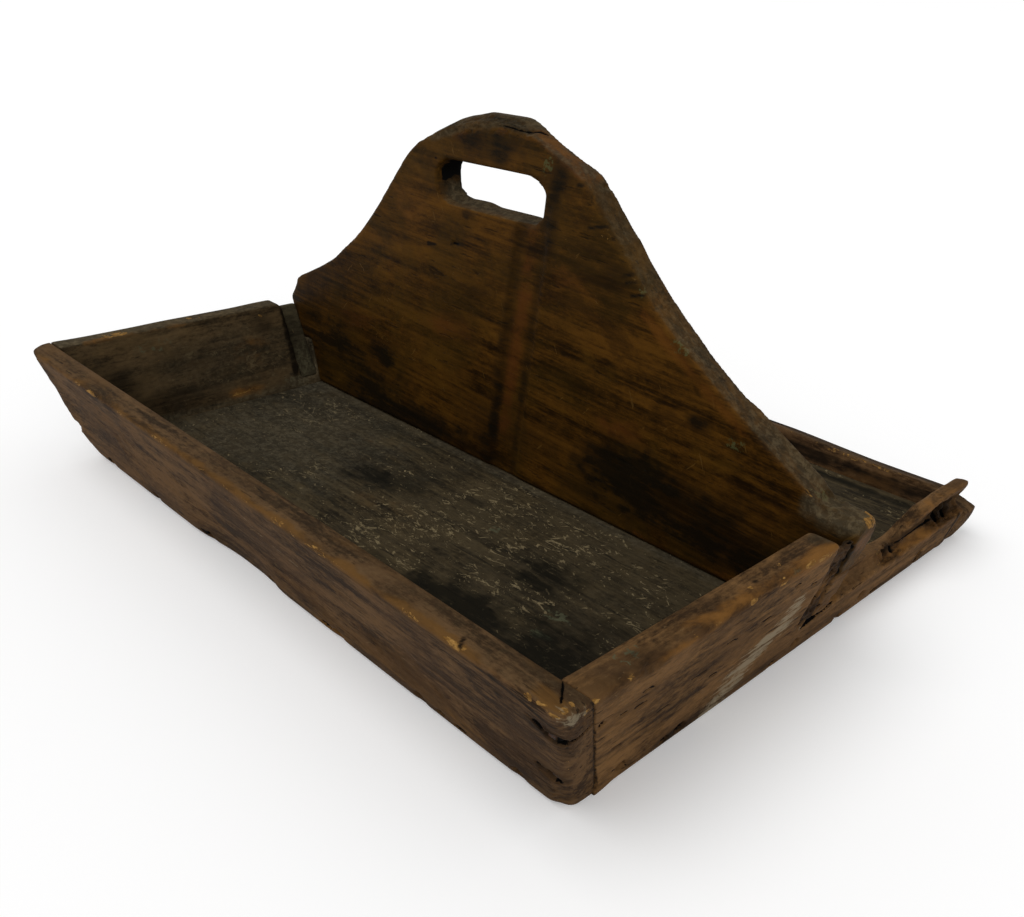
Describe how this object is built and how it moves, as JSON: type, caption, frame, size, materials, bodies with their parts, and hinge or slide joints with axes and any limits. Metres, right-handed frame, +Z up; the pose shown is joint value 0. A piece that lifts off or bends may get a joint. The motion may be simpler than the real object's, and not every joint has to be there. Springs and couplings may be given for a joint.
{
  "type": "wooden tool tote",
  "caption": "Shallow wooden tray with leaning walls, split down its length by a tall divider board whose hand slot is the carrying handle.",
  "frame": {"origin": "middle of the tray's underside, on the surface that it stands on", "axes": "+X along the tray to the broken end, -Y to the whole long side, +Z up to the handle"},
  "size_m": [0.56, 0.4595, 0.27],
  "materials": {
    "floor_wood": "dry, dusty and dark with age",
    "side_wood": "old worn wood, rubbed bare along the rim",
    "end_wood": "old worn wood, split and decayed at the break",
    "divider_wood": "old hand-polished wood with dark stains",
    "filler_wood": "grey, dusty old wood",
    "nail_iron": "dull rusty iron"
  },
  "bodies": {
    "root": {"floor_front": "floor_wood", "floor_back": "floor_wood", "side_front": "side_wood", "side_back": "side_wood", "end_left": "end_wood", "end_right": "end_wood", "divider": "divider_wood", "filler_left": "filler_wood", "filler_right": "filler_wood", "corner_nails_front_left": "nail_iron", "corner_nails_front_right": "nail_iron", "corner_nails_back_left": "nail_iron", "corner_nails_back_right": "nail_iron", "floor_nails_front": "nail_iron", "floor_nails_back": "nail_iron", "floor_nails_left": "nail_iron", "floor_nails_right": "nail_iron", "divider_nails": "nail_iron"}
  },
  "joints": []
}
